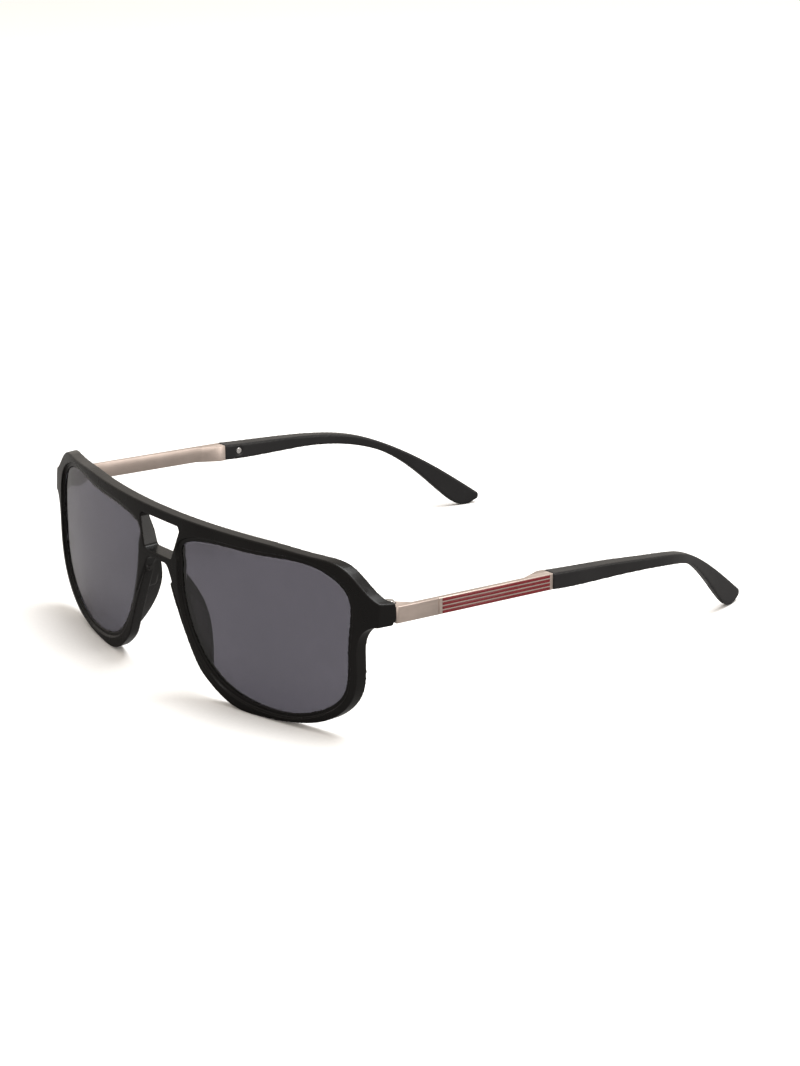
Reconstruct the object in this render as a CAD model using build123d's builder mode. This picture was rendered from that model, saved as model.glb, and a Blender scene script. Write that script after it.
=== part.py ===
"""Square aviator sunglasses with metal temples, in millimetres.

The glasses stand open on a flat surface, on the bottoms of both rims and of both tips.
+X is the wearer's left, the front faces -Y, +Z is up, and the origin is under the middle of the
whole object. Each left-hand piece is made once and mirrored to the right.
"""

from build123d import *
import os

# Overall placing: FRONT_Y is the foremost point of the front, and depths are counted back from it.
FRONT_Y = -80.8

# Front: a thin shell cut from a sphere, so that the rims and both lenses share one base curve.
BASE_RADIUS = 170.0
BASE_HEIGHT = 24.0
RIM_THICKNESS = 3.2
BRIDGE_THICKNESS = 5.2
TOP_HEIGHT = 48.5
BROW_UNDERSIDE = 34.7
HALF_WIDTH = 74.2

# Lens seat: a shallow step in the front face round each lens, and a groove for the lens's edge.
SEAT_WIDTH = 1.2
SEAT_DEPTH = 0.8
LENS_RECESS = 1.0
LENS_THICKNESS = 1.8
TONGUE_WIDTH = 0.8
TONGUE_THICKNESS = 0.8
LENS_CLEARANCE = 0.04
OUTLINE_STEPS = 40

# Endpieces and hinges: the metal bar butts against the back of the endpiece.
JOINT_DEPTH = 21.4
JOINT_GAP = 0.3
ENDPIECE_WALL = 4.4
ENDPIECE_BOTTOM = 32.7
ENDPIECE_TOP = 38.4
HINGE_X = 70.3
HINGE_DEPTH = 22.4
HINGE_HEIGHT = 35.3
KNUCKLE_RADIUS = 1.5
KNUCKLE_HEIGHT = 1.5
KNUCKLE_GAP = 0.05
KNUCKLE_RELIEF = 0.25
PIN_RADIUS = 0.6
PIN_CLEARANCE = 0.04
SCREW_HEAD_RADIUS = 1.15
SCREW_HEAD_HEIGHT = 0.5

# Metal temple bar: a thin plate that slopes down to the tip and thickens inward at both ends.
BAR_DEPTH_END = 74.4
BAR_FRONT_Z = 35.2
BAR_SLOPE = -0.072
BAR_HEIGHT = 4.5
PLATE_THICKNESS = 1.4
BAR_END_THICKNESS = 4.0
BAR_EDGE_RADIUS = 0.2
END_STRIP_LENGTH = 0.85
END_STRIP_DROP = 0.25
CORE_LENGTH = 26.0
CORE_HEIGHT = 1.8

# Enamel stripes let into the outer face of the bar, and the engraved line in front of them.
STRIPE_COUNT = 4
STRIPE_PITCH = 1.1
STRIPE_HEIGHT = 0.7
STRIPE_DEPTH = 0.25
STRIPE_START = 36.6
STRIPE_END = 73.4
STRIPE_SHIFT = -0.05
ENGRAVING_DEPTH_Y = 35.4
ENGRAVING_WIDTH = 0.25

# Temple tip: a moulded sleeve over the bar's core, with one small screw on its inner side.
TIP_FRONT_THICKNESS = 4.2
TIP_SCREW_DEPTH_Y = 79.6
TIP_SCREW_RADIUS = 0.9
TIP_SCREW_SHANK = 0.5

SPHERE_CENTRE = Vector(0, FRONT_Y + BASE_RADIUS, BASE_HEIGHT)


def face_plane(depth):
    """Front view: local x is +X, local y is +Z, and the normal points forward."""
    return Plane(origin=(0, FRONT_Y + depth, 0), x_dir=(1, 0, 0), z_dir=(0, -1, 0))


def side_plane(x):
    """Side view: local x is the depth behind the front, and local y is +Z."""
    return Plane(origin=(x, FRONT_Y, 0), x_dir=(0, 1, 0), z_dir=(1, 0, 0))


def plan_plane(z):
    """View from above: local x is +X, and local y is the depth behind the front."""
    return Plane(origin=(0, FRONT_Y, z), x_dir=(1, 0, 0), z_dir=(0, 0, 1))


def bar_height_at(depth):
    """Height of the middle of the metal bar at a depth behind the front."""
    return BAR_FRONT_Z + BAR_SLOPE * (depth - JOINT_DEPTH)


def cut_to_shell(depth_in, depth_out):
    """Keeps what lies between two depths under the outer sphere."""
    with Locations(SPHERE_CENTRE):
        Sphere(BASE_RADIUS - depth_in, mode=Mode.INTERSECT)
        Sphere(BASE_RADIUS - depth_out, mode=Mode.SUBTRACT)


# ---------------------------------------------------------------- outlines, front view


# Edge of the left lens opening in the front face: a rounded square cut away on its nasal side.
with BuildLine() as lens_curve:
    Spline(
        (8.5, 38.0),
        (9.6, 42.5),
        (14.0, 44.3),
        (37.0, 45.9),
        (59.0, 44.5),
        (64.6, 40.0),
        (65.5, 27.0),
        (63.4, 11.6),
        (54.0, 4.3),
        (37.0, 1.9),
        (23.0, 5.9),
        (13.4, 17.2),
        (9.3, 30.0),
        periodic=True,
    )


def lens_outline(grow):
    """The lens opening with its edge moved outward, or inward when grow is negative."""
    curve = lens_curve.line
    stations = [step / OUTLINE_STEPS for step in range(OUTLINE_STEPS)]
    with BuildSketch() as outline:
        with BuildLine():
            Spline(
                *[curve @ t + (curve % t).rotate(Axis.Z, 90) * grow for t in stations],
                periodic=True,
            )
        make_face()
    return outline.sketch


# Both rims, the double bridge and the faces of the endpieces, as one closed outline.
with BuildSketch() as front_outline:
    with BuildLine():
        top = Line((0, TOP_HEIGHT), (38, TOP_HEIGHT))
        shoulder = Spline(
            top @ 1,
            (54.0, 47.8),
            (62.0, 46.7),
            (66.3, 43.7),
            (70.0, 40.4),
            (HALF_WIDTH, ENDPIECE_TOP),
            tangents=((1, 0), (1, -0.2)),
        )
        side = Line(shoulder @ 1, (HALF_WIDTH, ENDPIECE_BOTTOM))
        under = Line(side @ 1, (71.6, ENDPIECE_BOTTOM - 0.4))
        rim = Spline(
            under @ 1,
            (68.0, 29.2),
            (67.2, 21.0),
            (65.8, 12.2),
            (59.0, 4.8),
            (48.5, 1.25),
            (37.0, 0.12),
            (26.5, 1.0),
            (18.6, 6.0),
            (12.0, 16.3),
            (7.6, 27.0),
            (5.0, 33.3),
            tangents=((-1, -0.25), (-0.5, 1)),
        )
        corner = TangentArc(rim @ 1, (3.4, BROW_UNDERSIDE), tangent=(-0.5, 1))
        Line(corner @ 1, (0, BROW_UNDERSIDE))
        mirror(about=Plane.YZ)
    make_face()

# The opening between the top bar and the lower bridge.
with BuildSketch() as bridge_hole:
    with BuildLine():
        FilletPolyline((-9.2, 45.9), (9.2, 45.9), (6.0, 36.4), (-6.0, 36.4), radius=1.3, close=True)
    make_face()


# ---------------------------------------------------------------- front frame

# Middle of the front: it swells backward from the rim's thickness round the hole, between the two
# lenses, and thins out again towards the top edge and towards each lens.
with BuildPart() as bridge_core:
    with BuildSketch(side_plane(-12)):
        with BuildLine():
            Polyline(
                (-2, TOP_HEIGHT - 0.2),
                (RIM_THICKNESS - 0.2, TOP_HEIGHT - 0.2),
                (BRIDGE_THICKNESS, 45.6),
                (BRIDGE_THICKNESS, 36.2),
                (BRIDGE_THICKNESS - 0.2, BROW_UNDERSIDE - 2.2),
                (-2, BROW_UNDERSIDE - 2.2),
                close=True,
            )
        make_face()
    extrude(amount=24)
    with BuildSketch(plan_plane(30)):
        with BuildLine():
            Polyline(
                (-11.5, -2),
                (-11.5, RIM_THICKNESS - 0.2),
                (-7.5, BRIDGE_THICKNESS),
                (7.5, BRIDGE_THICKNESS),
                (11.5, RIM_THICKNESS - 0.2),
                (11.5, -2),
                close=True,
            )
        make_face()
    extrude(amount=25, mode=Mode.INTERSECT)
    with BuildSketch(face_plane(-3)):
        add(front_outline.sketch)
    extrude(amount=-12, mode=Mode.INTERSECT)
    with Locations(SPHERE_CENTRE):
        Sphere(BASE_RADIUS, mode=Mode.INTERSECT)

# One endpiece: an angled block that wraps back from the front face to the hinge.
with BuildPart() as endpiece:
    with BuildSketch(plan_plane(ENDPIECE_BOTTOM)):
        with BuildLine():
            Polyline(
                (65.2, 10.0),
                (HALF_WIDTH, 10.0),
                (HALF_WIDTH, JOINT_DEPTH),
                (HALF_WIDTH - ENDPIECE_WALL, JOINT_DEPTH),
                (HALF_WIDTH - ENDPIECE_WALL - 0.6, 18.6),
                (65.2, 15.4),
                close=True,
            )
        make_face()
    extrude(amount=16)
    with BuildSketch(face_plane(0)):
        add(front_outline.sketch)
    extrude(amount=-30, mode=Mode.INTERSECT)
    with BuildSketch(side_plane(60)):
        with BuildLine():
            Polyline(
                (5.0, ENDPIECE_BOTTOM - 1),
                (19.8, ENDPIECE_BOTTOM - 1),
                (19.8, ENDPIECE_BOTTOM),
                (JOINT_DEPTH, ENDPIECE_BOTTOM + 0.9),
                (JOINT_DEPTH, ENDPIECE_TOP + 0.2),
                (16.6, ENDPIECE_TOP + 0.7),
                (11.5, 43.6),
                (5.0, 47.0),
                close=True,
            )
        make_face()
    extrude(amount=16, mode=Mode.INTERSECT)
    with Locations(SPHERE_CENTRE):
        Sphere(BASE_RADIUS, mode=Mode.INTERSECT)
    with Locations((HINGE_X, FRONT_Y + HINGE_DEPTH, 0)):
        Cylinder(KNUCKLE_RADIUS + KNUCKLE_RELIEF, 100, mode=Mode.SUBTRACT)

# What is taken off the outer corner, so that the endpiece's flat side leans in towards the front.
with BuildPart() as corner_cut:
    with BuildSketch(plan_plane(ENDPIECE_BOTTOM - 3)):
        with BuildLine():
            Polyline(
                (HALF_WIDTH - 2.1, 14.0),
                (HALF_WIDTH + 0.05, JOINT_DEPTH + 0.2),
                (HALF_WIDTH + 4, JOINT_DEPTH + 0.2),
                (HALF_WIDTH + 4, 14.0),
                close=True,
            )
        make_face()
    extrude(amount=14)

# One nose pad, moulded with the rim: fins that splay away from the nose as they go back.
PAD_SECTIONS = [
    # height, nasal edge of the rim, depth of the pad behind the front, splay away from the nose
    (33.4, 5.0, 5.2, 0.1),
    (28.5, 7.3, 7.4, 0.3),
    (23.0, 9.4, 8.8, 1.0),
    (17.5, 11.8, 8.4, 1.3),
    (12.5, 14.6, 6.8, 1.2),
    (8.0, 17.7, 4.4, 1.1),
]
with BuildPart() as nose_pad:
    for height, nasal, depth, splay in PAD_SECTIONS:
        with BuildSketch(plan_plane(height)):
            with BuildLine():
                Polyline(
                    (nasal + 0.05, 2.2),
                    (nasal + 0.05 + 0.4 * splay, 0.55 * depth),
                    (nasal + splay, depth),
                    (nasal + splay + 1.0, depth + 0.1),
                    (nasal + splay + 1.5, depth - 0.8),
                    (nasal + 2.4, 2.4),
                    close=True,
                )
            make_face()
    loft()

TONGUE_DEPTH = LENS_RECESS + (LENS_THICKNESS - TONGUE_THICKNESS) / 2

with BuildPart() as lens_seat:
    with BuildSketch(face_plane(-4)):
        add(lens_outline(0))
    extrude(amount=-26)
    cut_to_shell(-3, SEAT_DEPTH)

with BuildPart() as lens_window:
    with BuildSketch(face_plane(-4)):
        add(lens_outline(-SEAT_WIDTH))
    extrude(amount=-26)
    cut_to_shell(-3, RIM_THICKNESS + 0.1)

with BuildPart() as lens_groove:
    with BuildSketch(face_plane(-2)):
        add(lens_outline(TONGUE_WIDTH + LENS_CLEARANCE - SEAT_WIDTH))
    extrude(amount=-24)
    cut_to_shell(TONGUE_DEPTH - LENS_CLEARANCE, TONGUE_DEPTH + TONGUE_THICKNESS + LENS_CLEARANCE)

with BuildPart() as front_frame:
    with BuildSketch(face_plane(-2)):
        add(front_outline.sketch)
    extrude(amount=-26)
    cut_to_shell(0, RIM_THICKNESS)
    add(bridge_core.part)
    add(endpiece.part)
    mirror(endpiece.part, about=Plane.YZ)
    with BuildSketch(face_plane(-2)):
        add(bridge_hole.sketch)
    extrude(amount=-26, mode=Mode.SUBTRACT)
    add(nose_pad.part)
    mirror(nose_pad.part, about=Plane.YZ)
    for cutter in (corner_cut, lens_seat, lens_groove, lens_window):
        add(cutter.part, mode=Mode.SUBTRACT)
        mirror(cutter.part, about=Plane.YZ, mode=Mode.SUBTRACT)

# ---------------------------------------------------------------- lens

with BuildPart() as lens_tongue:
    with BuildSketch(face_plane(-2)):
        add(lens_outline(TONGUE_WIDTH - SEAT_WIDTH))
    extrude(amount=-24)
    cut_to_shell(TONGUE_DEPTH, TONGUE_DEPTH + TONGUE_THICKNESS)

with BuildPart() as lens:
    with BuildSketch(face_plane(-2)):
        add(lens_outline(-SEAT_WIDTH - LENS_CLEARANCE))
    extrude(amount=-26)
    cut_to_shell(LENS_RECESS, LENS_RECESS + LENS_THICKNESS)
    add(lens_tongue.part)

# ---------------------------------------------------------------- hinge

HINGE_Y = FRONT_Y + HINGE_DEPTH
KNUCKLE_PITCH = KNUCKLE_HEIGHT + KNUCKLE_GAP
HINGE_STACK = 3 * KNUCKLE_HEIGHT + 2 * KNUCKLE_GAP


def knuckle(middle):
    """One barrel of the hinge, without its hole."""
    with Locations((HINGE_X, HINGE_Y, middle)):
        Cylinder(KNUCKLE_RADIUS, KNUCKLE_HEIGHT)


def pin_hole():
    """The hole through the barrels for the hinge screw."""
    with Locations((HINGE_X, HINGE_Y, HINGE_HEIGHT)):
        Cylinder(PIN_RADIUS + PIN_CLEARANCE, 3 * HINGE_STACK, mode=Mode.SUBTRACT)


# Front half: an upper and a lower barrel on arms that are moulded into the endpiece.
with BuildPart() as front_hinge:
    for step in (-1, 1):
        middle = HINGE_HEIGHT + step * KNUCKLE_PITCH
        knuckle(middle)
        with BuildSketch(plan_plane(middle)):
            with BuildLine():
                Polyline(
                    (HINGE_X - 0.2, HINGE_DEPTH),
                    (HINGE_X + 1.3, HINGE_DEPTH - 0.6),
                    (HINGE_X + 1.8, JOINT_DEPTH - 3.6),
                    (HINGE_X + 0.8, JOINT_DEPTH - 3.6),
                    close=True,
                )
            make_face()
        extrude(amount=KNUCKLE_HEIGHT / 2, both=True)
    with Locations((HINGE_X + 1.3, FRONT_Y + JOINT_DEPTH - 3.0, HINGE_HEIGHT)):
        Box(1.0, 1.2, HINGE_STACK)
    pin_hole()

# Rear half: a middle barrel on a leaf that lies along the inner face of the bar.
with BuildPart() as temple_hinge:
    knuckle(HINGE_HEIGHT)
    with BuildSketch(plan_plane(HINGE_HEIGHT)):
        with BuildLine():
            Polyline(
                (HINGE_X - 1.4, HINGE_DEPTH),
                (HINGE_X, HINGE_DEPTH - 1.0),
                (HINGE_X + 1.2, HINGE_DEPTH + 0.4),
                (HINGE_X + 0.4, HINGE_DEPTH + 2.0),
                (HINGE_X - 0.9, HINGE_DEPTH + 2.0),
                close=True,
            )
        make_face()
    extrude(amount=KNUCKLE_HEIGHT / 2, both=True)
    pin_hole()

with BuildPart() as hinge_screw:
    screw_top = HINGE_HEIGHT + HINGE_STACK / 2
    with BuildSketch(plan_plane(HINGE_HEIGHT - HINGE_STACK / 2)):
        with Locations((HINGE_X, HINGE_DEPTH)):
            Circle(PIN_RADIUS)
    extrude(amount=HINGE_STACK)
    with BuildSketch(plan_plane(screw_top)):
        with Locations((HINGE_X, HINGE_DEPTH)):
            Circle(SCREW_HEAD_RADIUS)
    extrude(amount=SCREW_HEAD_HEIGHT)
    fillet(hinge_screw.edges().sort_by(Axis.Z)[-1], 0.2)
    with Locations((HINGE_X, HINGE_Y, screw_top + SCREW_HEAD_HEIGHT)):
        Box(3.0, 0.3, 0.4, mode=Mode.SUBTRACT)

# ---------------------------------------------------------------- temple bar

BAR_START = JOINT_DEPTH + JOINT_GAP
BAR_INNER_X = HALF_WIDTH - PLATE_THICKNESS

with BuildPart() as temple_bar:
    with BuildSketch(side_plane(HALF_WIDTH)):
        half = BAR_HEIGHT / 2
        with BuildLine():
            Polyline(
                (BAR_START, bar_height_at(BAR_START) - half),
                (BAR_START, bar_height_at(BAR_START) + half),
                (BAR_DEPTH_END, bar_height_at(BAR_DEPTH_END) + half),
                (BAR_DEPTH_END, bar_height_at(BAR_DEPTH_END) - half),
                close=True,
            )
        make_face()
        with BuildLine():
            core_front = bar_height_at(BAR_DEPTH_END)
            core_rear = bar_height_at(BAR_DEPTH_END + CORE_LENGTH) - 0.3
            Polyline(
                (BAR_DEPTH_END - 2, core_front - CORE_HEIGHT / 2),
                (BAR_DEPTH_END - 2, core_front + CORE_HEIGHT / 2),
                (BAR_DEPTH_END + CORE_LENGTH, core_rear + CORE_HEIGHT / 2),
                (BAR_DEPTH_END + CORE_LENGTH, core_rear - CORE_HEIGHT / 2),
                close=True,
            )
        make_face()
    extrude(amount=-8)
    with BuildSketch(plan_plane(20)):
        with BuildLine():
            Polyline(
                (HALF_WIDTH, BAR_START),
                (HALF_WIDTH, BAR_DEPTH_END),
                (HALF_WIDTH - 1.2, BAR_DEPTH_END),
                (HALF_WIDTH - 1.2, BAR_DEPTH_END + CORE_LENGTH),
                (HALF_WIDTH - 2.6, BAR_DEPTH_END + CORE_LENGTH),
                (HALF_WIDTH - 2.6, BAR_DEPTH_END),
                (HALF_WIDTH - BAR_END_THICKNESS, BAR_DEPTH_END),
                (HALF_WIDTH - BAR_END_THICKNESS, BAR_DEPTH_END - 2.2),
                (BAR_INNER_X, BAR_DEPTH_END - 9.0),
                (BAR_INNER_X, BAR_START + 5.6),
                (HINGE_X - 0.4, BAR_START + 2.4),
                (HINGE_X - 0.4, BAR_START),
                close=True,
            )
        make_face()
    extrude(amount=30, mode=Mode.INTERSECT)
    with Locations((HINGE_X, HINGE_Y, HINGE_HEIGHT)):
        Cylinder(KNUCKLE_RADIUS + KNUCKLE_RELIEF, 20, mode=Mode.SUBTRACT)
    add(temple_hinge.part, mode=Mode.SUBTRACT)
    long_edges = temple_bar.edges().filter_by(lambda e: e.length > 40)
    fillet(long_edges, BAR_EDGE_RADIUS)
    with BuildSketch(plan_plane(20)):
        with BuildLine():
            Polyline(
                (HALF_WIDTH - END_STRIP_DROP, BAR_START - 0.1),
                (HALF_WIDTH - END_STRIP_DROP, BAR_START),
                (HALF_WIDTH, BAR_START + END_STRIP_LENGTH),
                (HALF_WIDTH + 1, BAR_START + END_STRIP_LENGTH),
                (HALF_WIDTH + 1, BAR_START - 0.1),
                close=True,
            )
        make_face()
    extrude(amount=30, mode=Mode.SUBTRACT)

# Enamel stripes: shallow slots along the outer face, each filled flush.
stripes = []
for index in range(STRIPE_COUNT):
    lift = STRIPE_SHIFT + STRIPE_PITCH * ((STRIPE_COUNT - 1) / 2 - index)
    with BuildPart() as stripe_inlay:
        with BuildSketch(side_plane(HALF_WIDTH)):
            with BuildLine():
                Polyline(
                    (STRIPE_START, bar_height_at(STRIPE_START) + lift - STRIPE_HEIGHT / 2),
                    (STRIPE_START, bar_height_at(STRIPE_START) + lift + STRIPE_HEIGHT / 2),
                    (STRIPE_END, bar_height_at(STRIPE_END) + lift + STRIPE_HEIGHT / 2),
                    (STRIPE_END, bar_height_at(STRIPE_END) + lift - STRIPE_HEIGHT / 2),
                    close=True,
                )
            make_face()
        extrude(amount=-STRIPE_DEPTH)
    stripes.append(stripe_inlay.part)

with BuildPart() as engraved_bar:
    add(temple_bar.part)
    add(stripes, mode=Mode.SUBTRACT)
    with Locations((HALF_WIDTH, FRONT_Y + ENGRAVING_DEPTH_Y, bar_height_at(ENGRAVING_DEPTH_Y))):
        Box(0.3, ENGRAVING_WIDTH, BAR_HEIGHT + 1, mode=Mode.SUBTRACT)

# ---------------------------------------------------------------- temple tip

with BuildPart() as temple_tip:
    tip_front = bar_height_at(BAR_DEPTH_END)
    with BuildSketch(side_plane(HALF_WIDTH + 2)):
        with BuildLine():
            upper = Spline(
                (BAR_DEPTH_END, tip_front + 2.35),
                (95.0, 31.5),
                (112.0, 29.2),
                (124.0, 26.6),
                (137.0, 20.6),
                (150.0, 12.0),
                (161.0, 3.6),
            )
            end = TangentArc(upper @ 1, (160.4, 1.0), tangent=upper % 1)
            lower = Spline(
                end @ 1,
                (155.8, 0.15),
                (150.4, 3.9),
                (141.0, 13.4),
                (131.5, 20.6),
                (120.0, 24.6),
                (95.0, 27.5),
                (BAR_DEPTH_END, tip_front - 2.3),
            )
            Line(lower @ 1, upper @ 0)
        make_face()
    extrude(amount=-30)
    with BuildSketch(plan_plane(-5)):
        with BuildLine():
            outer = Spline(
                (HALF_WIDTH + 0.25, BAR_DEPTH_END),
                (HALF_WIDTH + 0.2, 98.0),
                (73.2, 118.0),
                (65.6, 138.0),
                (57.2, 164.0),
                tangents=((0, 1), (-0.3, 1)),
            )
            blunt = Line(outer @ 1, (55.4, 163.4))
            inner = Spline(
                blunt @ 1,
                (62.8, 138.0),
                (69.4, 119.0),
                (70.4, 98.0),
                (HALF_WIDTH - TIP_FRONT_THICKNESS + 0.2, BAR_DEPTH_END),
                tangents=((0.3, -1), (0, -1)),
            )
            Line(inner @ 1, outer @ 0)
        make_face()
    extrude(amount=60, mode=Mode.INTERSECT)

    add(temple_bar.part, mode=Mode.SUBTRACT)
    TIP_SCREW_X = HALF_WIDTH - TIP_FRONT_THICKNESS + 0.2
    tip_screw_z = bar_height_at(TIP_SCREW_DEPTH_Y)
    with BuildSketch(side_plane(TIP_SCREW_X - 0.5)):
        with Locations((TIP_SCREW_DEPTH_Y, tip_screw_z)):
            Circle(TIP_SCREW_RADIUS + 0.2)
    extrude(amount=1.0, mode=Mode.SUBTRACT)
    with BuildSketch(side_plane(TIP_SCREW_X)):
        with Locations((TIP_SCREW_DEPTH_Y, tip_screw_z)):
            Circle(TIP_SCREW_SHANK)
    extrude(amount=1.5, mode=Mode.SUBTRACT)

# The screw's head sits in the hole, and its shank ends against the core.
with BuildPart() as tip_screw:
    with BuildSketch(side_plane(TIP_SCREW_X + 0.1)):
        with Locations((TIP_SCREW_DEPTH_Y, tip_screw_z)):
            Circle(TIP_SCREW_RADIUS)
    extrude(amount=0.4)
    with BuildSketch(side_plane(TIP_SCREW_X + 0.5)):
        with Locations((TIP_SCREW_DEPTH_Y, tip_screw_z)):
            Circle(TIP_SCREW_SHANK)
    extrude(amount=0.9)
    with Locations((TIP_SCREW_X + 0.1, FRONT_Y + TIP_SCREW_DEPTH_Y, tip_screw_z)):
        Box(0.4, 0.3, 2, mode=Mode.SUBTRACT)

# ---------------------------------------------------------------- files, left and right


def write(piece, node):
    """Labels one piece and writes it as one STEP file."""
    piece.label = node
    export_step(piece, f"parts/{node}.step")


os.makedirs("parts", exist_ok=True)
with BuildPart() as finished_front:
    add(front_frame.part)
    add(front_hinge.part, mode=Mode.SUBTRACT)
    mirror(front_hinge.part, about=Plane.YZ, mode=Mode.SUBTRACT)
write(finished_front.part, "front_frame")

PAIRS = {
    "lens": lens,
    "front_hinge": front_hinge,
    "hinge_screw": hinge_screw,
    "temple_hinge": temple_hinge,
    "temple_bar": engraved_bar,
    "temple_tip": temple_tip,
    "tip_screw": tip_screw,
}
for node, left in PAIRS.items():
    write(left.part, f"{node}_left")
    write(left.part.mirror(Plane.YZ), f"{node}_right")
for index, stripe in enumerate(stripes, start=1):
    write(stripe, f"stripe_inlay_left_{index}")
    write(stripe.mirror(Plane.YZ), f"stripe_inlay_right_{index}")
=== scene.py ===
# %% [markdown]
# # Square aviator sunglasses, finished in Blender
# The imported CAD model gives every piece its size, its place and its hinge. This lesson turns those
# exact but sharp-edged solids into the surfaces that a hand would feel: a softly rounded moulded
# front, smoke lenses that really let light through, brushed metal bars with domed enamel stripes,
# rubbery tips and small slotted screws. Everything is in metres, in the frame of the CAD model.

# %% Load the frame
import math

import bpy
from mathutils import Matrix, Vector


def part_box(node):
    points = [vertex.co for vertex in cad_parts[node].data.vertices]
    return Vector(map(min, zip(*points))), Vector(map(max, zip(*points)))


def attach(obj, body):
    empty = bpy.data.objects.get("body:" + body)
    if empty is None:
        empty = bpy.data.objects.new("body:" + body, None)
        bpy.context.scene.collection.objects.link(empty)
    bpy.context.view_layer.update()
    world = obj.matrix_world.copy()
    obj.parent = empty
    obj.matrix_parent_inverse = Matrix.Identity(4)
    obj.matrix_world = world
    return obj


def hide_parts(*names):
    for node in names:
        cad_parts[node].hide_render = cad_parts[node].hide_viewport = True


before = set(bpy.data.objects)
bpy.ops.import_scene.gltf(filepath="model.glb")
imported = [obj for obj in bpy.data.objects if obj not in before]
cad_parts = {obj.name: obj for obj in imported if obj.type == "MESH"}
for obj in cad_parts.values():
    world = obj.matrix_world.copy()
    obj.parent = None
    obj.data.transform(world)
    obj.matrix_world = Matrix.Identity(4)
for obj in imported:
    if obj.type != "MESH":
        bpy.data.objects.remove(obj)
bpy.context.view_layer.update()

MM = 0.001
SIDES = {"left": 1, "right": -1}
print("nodes in the frame:", len(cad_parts))

# %% [markdown]
# ## The camera comes first
# A long lens held about three quarters of a metre away flattens the glasses a little, as a product
# photographer's portrait lens does. The camera is placed by an angle round the object and an angle
# above it, so that both numbers can be read as a person would say them: 51 degrees to the wearer's
# left of straight ahead, and 20 degrees up.

# %% Camera
TARGET = Vector((0.0533, -0.0408, 0.0473))
AZIMUTH = math.radians(50.70)
ELEVATION = math.radians(19.53)
ROLL = math.radians(-0.58)
DISTANCE = 0.7755

towards_camera = Vector(
    (
        math.sin(AZIMUTH) * math.cos(ELEVATION),
        -math.cos(AZIMUTH) * math.cos(ELEVATION),
        math.sin(ELEVATION),
    )
)
bpy.ops.object.camera_add()
camera = bpy.context.object
camera.name = "photographer"
camera.data.sensor_fit = "HORIZONTAL"
camera.data.sensor_width = 36
camera.data.lens = 135.2
camera.data.clip_start = 0.01
turn = towards_camera.to_track_quat("Z", "Y").to_matrix().to_4x4()
camera.matrix_world = (
    Matrix.Translation(TARGET + towards_camera * DISTANCE) @ turn @ Matrix.Rotation(ROLL, 4, "Z")
)
bpy.context.scene.camera = camera
print("camera", round(DISTANCE, 3), "m from its target")

# %% [markdown]
# ## Helpers for working by hand
# An operator acts on whatever is selected, so the first habit is to let go of everything. The second
# helper takes a working copy of a CAD node: its triangles arrive loose, so they are merged before any
# tool that follows edges can work on them. The third applies one modifier at once, which is what
# pressing Apply does.

# %% Selecting, copying and applying


def only(piece):
    """Selects one object and nothing else."""
    bpy.ops.object.select_all(action="DESELECT")
    piece.select_set(True)
    bpy.context.view_layer.objects.active = piece


def working_copy(node, name):
    """A merged copy of a CAD node, ready to be worked on."""
    piece = bpy.data.objects.new(name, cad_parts[node].data.copy())
    bpy.context.scene.collection.objects.link(piece)
    only(piece)
    bpy.ops.object.mode_set(mode="EDIT")
    bpy.ops.mesh.select_all(action="SELECT")
    bpy.ops.mesh.remove_doubles(threshold=1e-6)
    bpy.ops.mesh.customdata_custom_splitnormals_clear()
    bpy.ops.object.mode_set(mode="OBJECT")
    piece.data.materials.clear()
    return piece


def apply_modifier(piece, kind, **settings):
    """Adds one modifier with its settings and applies it."""
    only(piece)
    modifier = piece.modifiers.new(kind.title(), kind)
    for key, value in settings.items():
        setattr(modifier, key, value)
    bpy.ops.object.modifier_apply(modifier=modifier.name)


def smooth_shading(piece, degrees=40):
    """Smooth shading that still breaks at edges sharper than an angle."""
    only(piece)
    bpy.ops.object.shade_smooth_by_angle(angle=math.radians(degrees))


def finish_piece(piece, body, slot, material, *nodes):
    """Gives a piece its material and body, and hides the CAD nodes it stands for."""
    piece.data.materials.clear()
    piece.data.materials.append(material)
    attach(piece, body)
    if nodes:
        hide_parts(*nodes)
    print(piece.name, len(piece.data.polygons), "faces")


# %% [markdown]
# ## Materials as recipes of nodes
# Every finish below starts from one Principled shader. A small helper adds a noise that reads Object
# coordinates, so its grain has a real size in metres and does not slide when a temple folds. The
# noise then steers roughness, colour and a bump whose height is also a real distance.

# %% Node helpers


def new_material(name, **sockets):
    """A material with a Principled shader and its even values set on the shader's own sockets."""
    material = bpy.data.materials.new(name)
    material.use_nodes = True
    shader = material.node_tree.nodes["Principled BSDF"]
    for socket, value in sockets.items():
        shader.inputs[socket.replace("_", " ")].default_value = value
    return material, material.node_tree, shader


def grain(tree, scale, stretch=(1, 1, 1), detail=3):
    """Noise in Object coordinates: scale is in grains per metre, stretch thins it along each axis."""
    place = tree.nodes.new("ShaderNodeTexCoord")
    mapping = tree.nodes.new("ShaderNodeMapping")
    mapping.inputs["Scale"].default_value = stretch
    noise = tree.nodes.new("ShaderNodeTexNoise")
    noise.inputs["Scale"].default_value = scale
    noise.inputs["Detail"].default_value = detail
    tree.links.new(place.outputs["Object"], mapping.inputs["Vector"])
    tree.links.new(mapping.outputs["Vector"], noise.inputs["Vector"])
    return noise.outputs["Fac"]


def spread(tree, value, low, high, start=0.35, stop=0.65):
    """Maps a noise to a range of values."""
    node = tree.nodes.new("ShaderNodeMapRange")
    node.inputs["From Min"].default_value = start
    node.inputs["From Max"].default_value = stop
    node.inputs["To Min"].default_value = low
    node.inputs["To Max"].default_value = high
    tree.links.new(value, node.inputs["Value"])
    return node.outputs["Result"]


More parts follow.
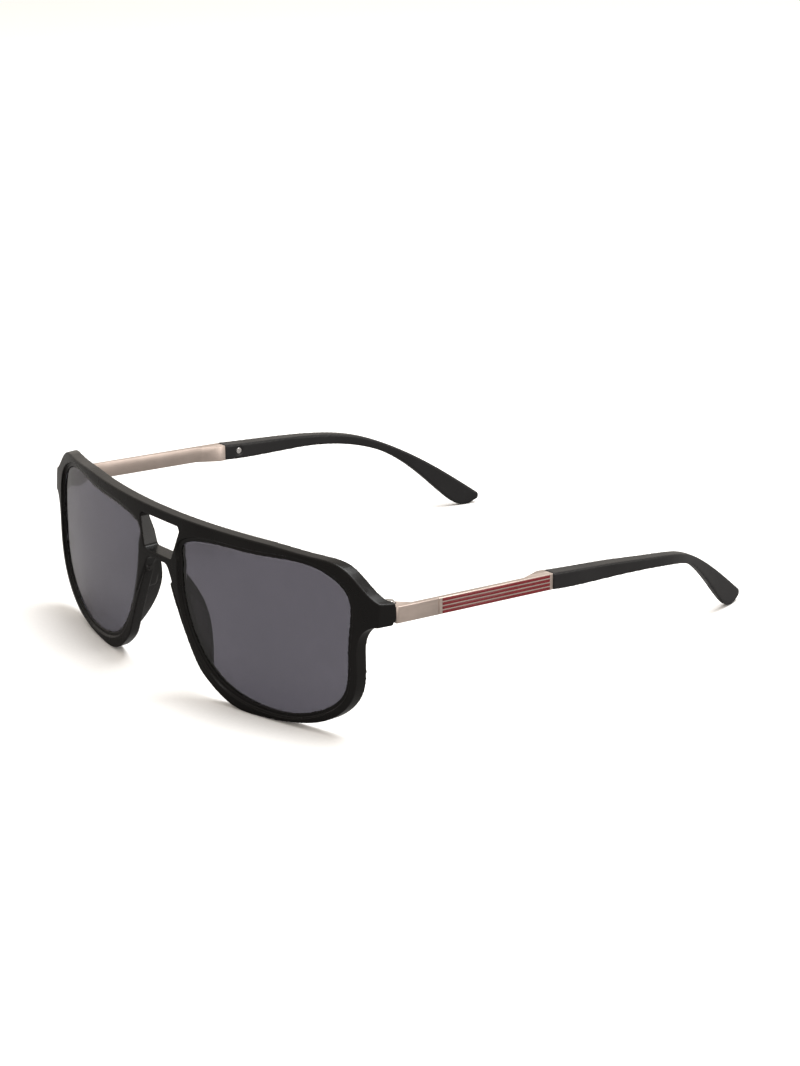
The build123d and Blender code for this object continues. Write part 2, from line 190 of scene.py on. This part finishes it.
def two_tones(tree, value, dark, light):
    """Mixes two colours by a value from 0 to 1."""
    ramp = tree.nodes.new("ShaderNodeValToRGB")
    ramp.color_ramp.elements[0].position = 0.3
    ramp.color_ramp.elements[0].color = (*dark, 1)
    ramp.color_ramp.elements[1].position = 0.7
    ramp.color_ramp.elements[1].color = (*light, 1)
    tree.links.new(value, ramp.inputs["Fac"])
    return ramp.outputs["Color"]


def bump(tree, shader, value, height, strength=1.0, before=None):
    """Turns a noise into relief of a real height, on top of an earlier bump if there is one."""
    node = tree.nodes.new("ShaderNodeBump")
    node.inputs["Distance"].default_value = height
    node.inputs["Strength"].default_value = strength
    tree.links.new(value, node.inputs["Height"])
    if before is not None:
        tree.links.new(before, node.inputs["Normal"])
    tree.links.new(node.outputs["Normal"], shader.inputs["Normal"])
    return node.outputs["Normal"]


# %% [markdown]
# ## Satin black of the front
# The front is injection moulded and sprayed with a satin black lacquer. Up close such a coat has two
# scales: a very fine grain that breaks up highlights, and a slow unevenness from the spray. Handling
# rubs the edges a little smoother, so the shader's roughness drops where the surface turns. The soft
# tips are the same recipe with a lighter black and a duller skin.

# %% Satin black


def satin_black(name, dark, light, rough, specular):
    """A matt moulded finish with a fine grain, slow patches and edges polished by handling."""
    material, tree, shader = new_material(name, Specular_IOR_Level=specular)
    fine = grain(tree, 5200, detail=2)
    slow = grain(tree, 70, detail=4)
    tree.links.new(two_tones(tree, slow, dark, light), shader.inputs["Base Color"])
    edges = tree.nodes.new("ShaderNodeNewGeometry")
    polished = spread(tree, edges.outputs["Pointiness"], 0.0, -0.12, 0.52, 0.60)
    patches = spread(tree, slow, rough - 0.04, rough + 0.05)
    total = tree.nodes.new("ShaderNodeMath")
    total.operation = "ADD"
    tree.links.new(polished, total.inputs[0])
    tree.links.new(patches, total.inputs[1])
    tree.links.new(total.outputs["Value"], shader.inputs["Roughness"])
    first = bump(tree, shader, fine, 0.012 * MM, 0.7)
    bump(tree, shader, slow, 0.02 * MM, 0.25, first)
    return material


front_black = satin_black(
    "satin_black_front",
    dark=(0.0032, 0.0029, 0.0028),
    light=(0.0044, 0.0040, 0.0038),
    rough=0.27,
    specular=0.19,
)
tip_black = satin_black(
    "soft_black_tips",
    dark=(0.0070, 0.0067, 0.0071),
    light=(0.0095, 0.0092, 0.0098),
    rough=0.38,
    specular=0.24,
)
print("matt finishes:", front_black.name, tip_black.name)

# %% [markdown]
# ## Brushed gunmetal
# The bars are steel, ground along their length and plated a warm light grey. Brushing is a noise that
# is drawn out a long way in one direction, so its scale is small along Y and large across it. It
# steers the roughness and a relief of a few microns. The hinges and the screws are the same recipe,
# with a paler and smoother steel.

# %% Brushed metal


def brushed_metal(name, dark, light, rough):
    """Metal with fine lengthwise brush lines and slow tarnish."""
    material, tree, shader = new_material(name, Metallic=1.0, Anisotropic=0.35)
    lines = grain(tree, 1500, (6.0, 0.05, 6.0), 4)
    scratches = grain(tree, 700, (3.0, 0.12, 3.0), 2)
    slow = grain(tree, 120, detail=3)
    tree.links.new(two_tones(tree, slow, dark, light), shader.inputs["Base Color"])
    tree.links.new(spread(tree, lines, rough - 0.07, rough + 0.09), shader.inputs["Roughness"])
    first = bump(tree, shader, lines, 0.006 * MM, 0.8)
    bump(tree, shader, scratches, 0.01 * MM, 0.35, first)
    return material


bar_metal = brushed_metal(
    "brushed_gunmetal", dark=(0.51, 0.43, 0.385), light=(0.64, 0.543, 0.489), rough=0.42
)
hinge_steel = brushed_metal(
    "hinge_steel", dark=(0.42, 0.41, 0.40), light=(0.55, 0.54, 0.53), rough=0.3
)
screw_steel = brushed_metal(
    "screw_steel", dark=(0.62, 0.61, 0.60), light=(0.78, 0.77, 0.76), rough=0.22
)
print("metals:", bar_metal.name, hinge_steel.name, screw_steel.name)

# %% [markdown]
# ## Enamel and lenses
# Enamel is a coloured glass paste: a deep red body with the small flecks that firing leaves, under a
# thin clear coat that is kept weak here, or its glare would wash the red out. A smoke lens is tinted
# through, so its colour belongs to light that passes, and the shader's transmission does that. Its
# faces are polished, with only a faint film.

# %% Enamel and smoke lens


def red_enamel():
    """Deep red enamel under a weak clear coat."""
    material, tree, shader = new_material("red_enamel", Specular_IOR_Level=0.2, Coat_Weight=0.1)
    flecks = grain(tree, 2600, detail=3)
    dark = (0.095, 0.005, 0.008)
    light = (0.130, 0.009, 0.013)
    tree.links.new(two_tones(tree, flecks, dark, light), shader.inputs["Base Color"])
    tree.links.new(spread(tree, flecks, 0.2, 0.3), shader.inputs["Roughness"])
    bump(tree, shader, grain(tree, 900), 0.008 * MM, 0.4)
    return material


def smoke_lens():
    """Tinted, polished plastic that lets about a sixteenth of the light through."""
    material, tree, shader = new_material("smoke_lens", Transmission_Weight=1.0, IOR=1.5)
    film = grain(tree, 45, detail=2)
    tint = two_tones(tree, film, (0.060, 0.0575, 0.0705), (0.066, 0.063, 0.077))
    tree.links.new(tint, shader.inputs["Base Color"])
    tree.links.new(spread(tree, film, 0.015, 0.03), shader.inputs["Roughness"])
    return material


enamel = red_enamel()
smoke = smoke_lens()
print("enamel and lens:", enamel.name, smoke.name)

# %% [markdown]
# ## The moulded front
# A mould has no sharp edges: every corner of the real front carries a small radius. Beveling each edge
# would be slow here, because hundreds of short edges meet round the lens seats. A voxel remesh instead
# rebuilds the skin as an even net of tiny squares, and smoothing that net rounds every corner by
# the same few tenths of a millimetre, as polishing in a tumbling barrel does to the real one. A last
# pass thins the net to a size that other programs can carry. A remesh also fuses whatever overlaps,
# so a lump joined on beforehand becomes part of the skin, as putty does on a pattern.

# %% Tumbling
MOST_TRIANGLES = 190000


def tumbled(node, name, voxel, passes, putty=()):
    """A copy of a CAD node, fused with any lumps of putty, with every edge rounded alike."""
    piece = working_copy(node, name)
    for lump in putty:
        lump.select_set(True)
    if putty:
        bpy.ops.object.join()
    apply_modifier(piece, "REMESH", mode="VOXEL", voxel_size=voxel, adaptivity=0.0)
    apply_modifier(piece, "SMOOTH", factor=0.5, iterations=passes)
    triangles = 2 * len(piece.data.polygons)
    if triangles > MOST_TRIANGLES:
        apply_modifier(piece, "DECIMATE", ratio=MOST_TRIANGLES / triangles)
    only(piece)
    bpy.ops.object.shade_smooth()
    return piece


# %% [markdown]
# The nose pads are moulded on behind the rims, and each grows out of its rim without a step. The CAD
# solids meet with a small ledge there, so a wedge of putty is laid over it on each side before the
# remesh. A wedge is a cube whose eight corners are put in place, high and low, front and back.

# %% Putty between the rims and the nose pads
WEDGE_DEPTH = {"front": -80.2, "back": -74.6}
WEDGE_TOP = {"height": 31.0, "front": 5.55, "back": 6.8, "outer": 8.0}
WEDGE_FOOT = {"height": 24.0, "front": 8.3, "back": 9.2, "outer": 9.5}


def putty_wedge(sign):
    """A tapered lump that fills the step between one rim and its nose pad."""
    bpy.ops.object.select_all(action="DESELECT")
    bpy.ops.mesh.primitive_cube_add(size=2)
    lump = bpy.context.object
    for vertex in lump.data.vertices:
        level = WEDGE_TOP if vertex.co.z > 0 else WEDGE_FOOT
        depth = "back" if vertex.co.y > 0 else "front"
        across = level["outer"] if vertex.co.x > 0 else level[depth]
        vertex.co = Vector((sign * across, WEDGE_DEPTH[depth], level["height"])) * MM
    only(lump)
    bpy.ops.object.mode_set(mode="EDIT")
    bpy.ops.mesh.select_all(action="SELECT")
    bpy.ops.mesh.normals_make_consistent(inside=False)
    bpy.ops.object.mode_set(mode="OBJECT")
    return lump


wedges = [putty_wedge(sign) for sign in SIDES.values()]
front = tumbled("front_frame", "front_shell", voxel=0.17 * MM, passes=12, putty=wedges)
finish_piece(front, "front", "front", front_black, "front_frame")

# %% [markdown]
# ## The lenses
# Both faces of a lens are parts of spheres with one centre. A remeshed copy is close to them, and a
# reflection shows any dent of a hundredth of a millimetre, so each point of the net that lies near
# one of the two spheres is moved exactly onto it. The reflection is then as clean as on the real one.

# %% Lenses
BASE_RADIUS = 170 * MM
SPHERE_CENTRE = Vector((0, -80.8 * MM + BASE_RADIUS, 24 * MM))
LENS_FACES = (BASE_RADIUS - 1.0 * MM, BASE_RADIUS - 2.8 * MM)
NEAR_A_FACE = 0.16 * MM

for side in SIDES:
    lens = tumbled(f"lens_{side}", f"smoke_lens_{side}", voxel=0.35 * MM, passes=3)
    snapped = 0
    for vertex in lens.data.vertices:
        spoke = vertex.co - SPHERE_CENTRE
        for radius in LENS_FACES:
            if abs(spoke.length - radius) < NEAR_A_FACE:
                vertex.co = SPHERE_CENTRE + spoke.normalized() * radius
                snapped += 1
    print("points laid on the spheres:", snapped, "of", len(lens.data.vertices))
    finish_piece(lens, "front", "lens", smoke, f"lens_{side}")

# %% [markdown]
# ## The metal bars
# A pressed and ground bar keeps crisp edges with only a fine break on them. The Bevel modifier finds
# every edge sharper than an angle and cuts it back by a few hundredths of a millimetre, which is
# enough to catch a thin line of light along each edge and each stripe's slot.

# %% Bars


def edge_broken(node, name, width, sharper_than):
    """A copy of a CAD node with its sharp edges cut back, as a file breaks them."""
    piece = working_copy(node, name)
    apply_modifier(
        piece,
        "BEVEL",
        width=width,
        segments=2,
        limit_method="ANGLE",
        angle_limit=math.radians(sharper_than),
        use_clamp_overlap=True,
    )
    smooth_shading(piece, 35)
    return piece


for side in SIDES:
    node = f"temple_bar_{side}"
    bar = edge_broken(node, f"brushed_bar_{side}", width=0.05 * MM, sharper_than=30)
    finish_piece(bar, f"{side}_temple", "temple_metal", bar_metal, node)

# %% [markdown]
# ## Domed enamel stripes
# Enamel fills its slot and stands a little proud, because the paste domes as it sets. One bead is
# modelled from a cube, a hair wider than the slot because the paste spills over its edges. The outer
# edges are bevelled round while the cube is thicker than it should be, and squeezing it back leaves
# an even dome. Copies are then laid in the eight slots.

# %% Stripes
DOME = 0.21 * MM
SQUEEZE = 1.6
SPILL = 0.05 * MM


def select_edges(piece, wanted):
    """Selects the edges whose two ends pass a test, and leaves edit mode on."""
    only(piece)
    bpy.ops.object.mode_set(mode="EDIT")
    bpy.ops.mesh.select_all(action="DESELECT")
    bpy.ops.object.mode_set(mode="OBJECT")
    for edge in piece.data.edges:
        ends = [piece.data.vertices[index].co for index in edge.vertices]
        edge.select = wanted(*ends)
    bpy.ops.object.mode_set(mode="EDIT")
    bpy.ops.mesh.select_mode(type="EDGE")


def enamel_bead(low, high, rise):
    """One bead as long as its slot, from the slot's floor to a dome above the bar's face."""
    height = high.z - low.z - rise + 2 * SPILL
    depth = (high.x - low.x + DOME) * SQUEEZE
    bpy.ops.object.select_all(action="DESELECT")
    bpy.ops.mesh.primitive_cube_add(size=1)
    bead = bpy.context.object
    only(bead)
    bpy.ops.object.mode_set(mode="EDIT")
    bpy.ops.transform.resize(value=(depth, high.y - low.y, height))
    bpy.ops.object.mode_set(mode="OBJECT")
    select_edges(bead, lambda a, b: min(a.x, b.x) > 0)
    bpy.ops.mesh.bevel(offset=0.47 * height, segments=7, profile=0.5)
    bpy.ops.mesh.select_all(action="SELECT")
    bpy.ops.transform.resize(value=(1 / SQUEEZE, 1, 1))
    bpy.ops.object.mode_set(mode="OBJECT")
    return bead


def lay_in_slot(bead, low, high, rise, sign):
    """Moves a bead's points into their slot, which falls away towards the tip."""
    middle = (low + high) / 2
    length = high.y - low.y
    for vertex in bead.data.vertices:
        along = vertex.co.y
        vertex.co = Vector(
            (
                sign * (middle.x + DOME / 2 + vertex.co.x),
                middle.y + along,
                middle.z + vertex.co.z - along * rise / length,
            )
        )


STRIPES = [1, 2, 3, 4]
STRIPE_HEIGHT = 0.7 * MM
slot_low, slot_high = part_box("stripe_inlay_left_1")
fall = (slot_high.z - slot_low.z) - STRIPE_HEIGHT
first_bead = enamel_bead(slot_low, slot_high, fall)
for side, sign in SIDES.items():
    for number in STRIPES:
        node = f"stripe_inlay_{side}_{number}"
        low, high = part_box(f"stripe_inlay_left_{number}")
        bead = bpy.data.objects.new(f"enamel_stripe_{side}_{number}", first_bead.data.copy())
        bpy.context.scene.collection.objects.link(bead)
        lay_in_slot(bead, low, high, fall, sign)
        only(bead)
        bpy.ops.object.mode_set(mode="EDIT")
        bpy.ops.mesh.select_all(action="SELECT")
        bpy.ops.mesh.normals_make_consistent(inside=False)
        bpy.ops.object.mode_set(mode="OBJECT")
        smooth_shading(bead, 50)
        finish_piece(bead, f"{side}_temple", "enamel", enamel, node)
bpy.data.objects.remove(first_bead)

# %% [markdown]
# ## The moulded tips
# The tips are moulded over the bars' cores. Their corners are rounder than the front's, because they
# lie against the head, so the same tumbling takes more passes.

# %% Tips
for side in SIDES:
    tip = tumbled(f"temple_tip_{side}", f"soft_tip_{side}", voxel=0.26 * MM, passes=14)
    finish_piece(tip, f"{side}_temple", "tip", tip_black, f"temple_tip_{side}")

# %% [markdown]
# ## Slotted screws
# Both kinds of screw are turned from one bar: a head with a rounded rim, a shank, and a slot milled
# across the head. A cylinder gives the head, its end face is inset and pushed out for the shank, and
# the slot is cut with a Boolean, which is what the milling cutter does. The four screws are copies.

# %% Screws


def slotted_screw(name, head_radius, head_height, shank_radius, shank_length, slot_width):
    """A screw whose head's top is at z 0 and whose shank points down."""
    bpy.ops.object.select_all(action="DESELECT")
    bpy.ops.mesh.primitive_cylinder_add(
        vertices=48, radius=head_radius, depth=head_height, location=(0, 0, -head_height / 2)
    )
    screw = bpy.context.object
    screw.name = name
    only(screw)
    bpy.ops.object.transform_apply(location=True, rotation=True, scale=True)
    select_edges(screw, lambda a, b: min(a.z, b.z) > -1e-6)
    bpy.ops.mesh.bevel(offset=0.3 * head_height, segments=4, profile=0.5)
    bpy.ops.object.mode_set(mode="OBJECT")
    bpy.ops.object.mode_set(mode="EDIT")
    bpy.ops.mesh.select_mode(type="FACE")
    bpy.ops.mesh.select_all(action="DESELECT")
    bpy.ops.object.mode_set(mode="OBJECT")
    for face in screw.data.polygons:
        face.select = face.normal.z < -0.99
    bpy.ops.object.mode_set(mode="EDIT")
    bpy.ops.mesh.inset(thickness=head_radius - shank_radius)
    bpy.ops.mesh.extrude_region_move(TRANSFORM_OT_translate={"value": (0, 0, -shank_length)})
    bpy.ops.object.mode_set(mode="OBJECT")
    bpy.ops.object.select_all(action="DESELECT")
    bpy.ops.mesh.primitive_cube_add(size=1, location=(0, 0, 0))
    cutter = bpy.context.object
    cutter.scale = (3 * head_radius, slot_width, head_height)
    apply_modifier(screw, "BOOLEAN", operation="DIFFERENCE", object=cutter, solver="EXACT")
    bpy.data.objects.remove(cutter)
    return screw


def placed_screw(master, name, turn, place):
    """A copy of a screw with its own mesh, turned and put in place."""
    screw = bpy.data.objects.new(name, master.data.copy())
    bpy.context.scene.collection.objects.link(screw)
    screw.data.transform(Matrix.Translation(place) @ turn)
    smooth_shading(screw, 35)
    return screw


HINGE_SLOT_TURN = 0.5
TIP_SLOT_TURN = 0.7
hinge_master = slotted_screw(
    "hinge_master",
    head_radius=1.15 * MM,
    head_height=0.5 * MM,
    shank_radius=0.6 * MM,
    shank_length=4.6 * MM,
    slot_width=0.3 * MM,
)
tip_master = slotted_screw(
    "tip_master",
    head_radius=0.9 * MM,
    head_height=0.4 * MM,
    shank_radius=0.5 * MM,
    shank_length=0.9 * MM,
    slot_width=0.28 * MM,
)
for side, sign in SIDES.items():
    low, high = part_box(f"hinge_screw_{side}")
    place = Vector(((low.x + high.x) / 2, (low.y + high.y) / 2, high.z))
    upright = Matrix.Rotation(HINGE_SLOT_TURN, 4, "Z")
    screw = placed_screw(hinge_master, f"slotted_hinge_screw_{side}", upright, place)
    finish_piece(screw, "front", "screw", screw_steel, f"hinge_screw_{side}")

    low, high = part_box(f"tip_screw_{side}")
    head_x = low.x if sign > 0 else high.x
    place = Vector((head_x, (low.y + high.y) / 2, (low.z + high.z) / 2))
    facing_in = Matrix.Rotation(-sign * math.pi / 2, 4, "Y")
    inward = facing_in @ Matrix.Rotation(TIP_SLOT_TURN, 4, "Z")
    screw = placed_screw(tip_master, f"slotted_tip_screw_{side}", inward, place)
    finish_piece(screw, f"{side}_temple", "screw", screw_steel, f"tip_screw_{side}")
bpy.data.objects.remove(hinge_master)
bpy.data.objects.remove(tip_master)

# %% [markdown]
# ## Hinge halves
# The stamped hinge halves are small and mostly hidden. A fine bevel on a merged copy breaks their
# edges, and the same brushed steel as on the screws' heads, a little darker, finishes them.

# %% Hinges
for side in SIDES:
    for kind, body in (("front_hinge", "front"), ("temple_hinge", f"{side}_temple")):
        node = f"{kind}_{side}"
        hinge = edge_broken(node, f"{kind}_steel_{side}", width=0.06 * MM, sharper_than=40)
        finish_piece(hinge, body, "hinge_metal", hinge_steel, node)

# %% [markdown]
# ## Floor and light
# The glasses stand on a plain pale sheet. One softbox hangs above and a little behind, so that top
# edges are lit and shadows stay close under the rims, and a warm card fills from the right and behind.
# The surround is a pale, even, slightly warm white. In the gloss of the black pieces the paper is held
# darker, as a photographer does with black flags round the set, or black plastic would look grey. The
# Light Path node tells such a reflection from light that passes through a lens, which stays bright.

# %% Stage
bpy.ops.mesh.primitive_plane_add(size=8, location=(0, 0, 0))
floor = bpy.context.object
floor.name = "pale_floor"
pale, pale_tree, pale_shader = new_material("pale_paper", Roughness=0.9, Specular_IOR_Level=0.1)
paper = grain(pale_tree, 900, detail=2)
paper_colour = two_tones(pale_tree, paper, (0.90, 0.895, 0.89), (0.92, 0.915, 0.91))
pale_tree.links.new(paper_colour, pale_shader.inputs["Base Color"])
dim_paper = pale_tree.nodes.new("ShaderNodeBsdfDiffuse")
dim_paper.inputs["Color"].default_value = (0.24, 0.235, 0.23, 1)
ray = pale_tree.nodes.new("ShaderNodeLightPath")
reflected = pale_tree.nodes.new("ShaderNodeMath")
reflected.operation = "SUBTRACT"
reflected.use_clamp = True
pale_tree.links.new(ray.outputs["Is Glossy Ray"], reflected.inputs[0])
pale_tree.links.new(ray.outputs["Is Transmission Ray"], reflected.inputs[1])
sheet = pale_tree.nodes.new("ShaderNodeMixShader")
pale_tree.links.new(reflected.outputs["Value"], sheet.inputs["Fac"])
pale_tree.links.new(pale_shader.outputs["BSDF"], sheet.inputs[1])
pale_tree.links.new(dim_paper.outputs["BSDF"], sheet.inputs[2])
pale_tree.links.new(sheet.outputs["Shader"], pale_tree.nodes["Material Output"].inputs["Surface"])
floor.data.materials.append(pale)

world = bpy.data.worlds.new("studio_surround")
world.use_nodes = True
surround = world.node_tree.nodes["Background"]
surround.inputs["Color"].default_value = (1.0, 0.93, 0.85, 1)
surround.inputs["Strength"].default_value = 0.8
bpy.context.scene.world = world


def softbox(name, place, aim, size, watts, colour):
    """A square area light at a place, pointed at another."""
    bpy.ops.object.light_add(type="AREA", location=place)
    light = bpy.context.object
    light.name = name
    light.data.shape = "SQUARE"
    light.data.size = size
    light.data.energy = watts
    light.data.color = colour
    light.rotation_euler = (Vector(place) - Vector(aim)).to_track_quat("Z", "Y").to_euler()
    return light


MIDDLE = (0, 0, 0.02)
softbox(
    "overhead_softbox",
    place=(0.15, 0.22, 1.1),
    aim=MIDDLE,
    size=0.7,
    watts=16.0,
    colour=(0.975, 0.99, 1.0),
)
softbox(
    "warm_fill_card",
    place=(1.1, 0.55, 0.35),
    aim=MIDDLE,
    size=0.7,
    watts=6.0,
    colour=(1.0, 0.97, 0.94),
)
bpy.context.scene.view_settings.view_transform = "Standard"
